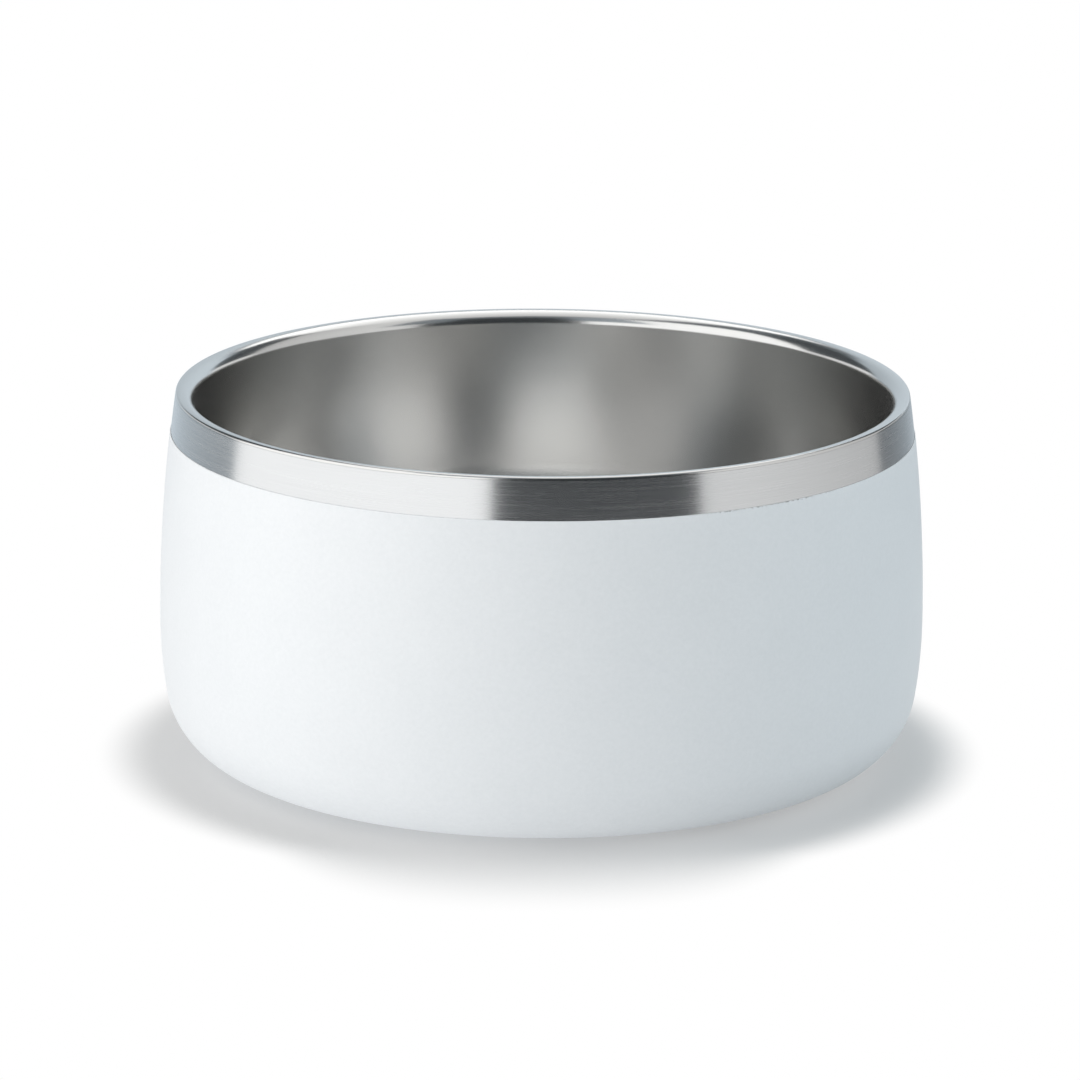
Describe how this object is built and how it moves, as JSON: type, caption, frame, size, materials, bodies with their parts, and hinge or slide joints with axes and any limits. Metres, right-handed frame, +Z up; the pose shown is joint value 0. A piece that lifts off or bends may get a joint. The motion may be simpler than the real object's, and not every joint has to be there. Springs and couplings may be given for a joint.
{
  "type": "pet bowl",
  "caption": "Round steel pet bowl with a hollow barrel-shaped wall, white powder coat, bare brushed rim, polished lip and a non-slip ring under its base.",
  "frame": {"origin": "on the surface that the bowl stands on, at the middle of its base", "axes": "+Z up along the bowl's axis, towards its mouth; +X towards the getter inside the base"},
  "size_m": [0.2, 0.2, 0.098],
  "materials": {
    "liner_steel": "satin inside, polished on the lip",
    "shell_steel": "brushed round the rim",
    "powder_coat": "matte polyester powder coat with a fine peel",
    "base_steel": "plain cold-rolled sheet",
    "silicone": "matte silicone",
    "port_seal": "dark sealing glass",
    "getter": "sintered"
  },
  "bodies": {
    "root": {"inner_bowl": "liner_steel", "outer_shell": "shell_steel", "powder_coat": "powder_coat", "base_plate": "base_steel", "foot_ring": "silicone", "port_seal": "port_seal", "getter_pellet": "getter", "getter_clip": "base_steel"}
  },
  "joints": []
}
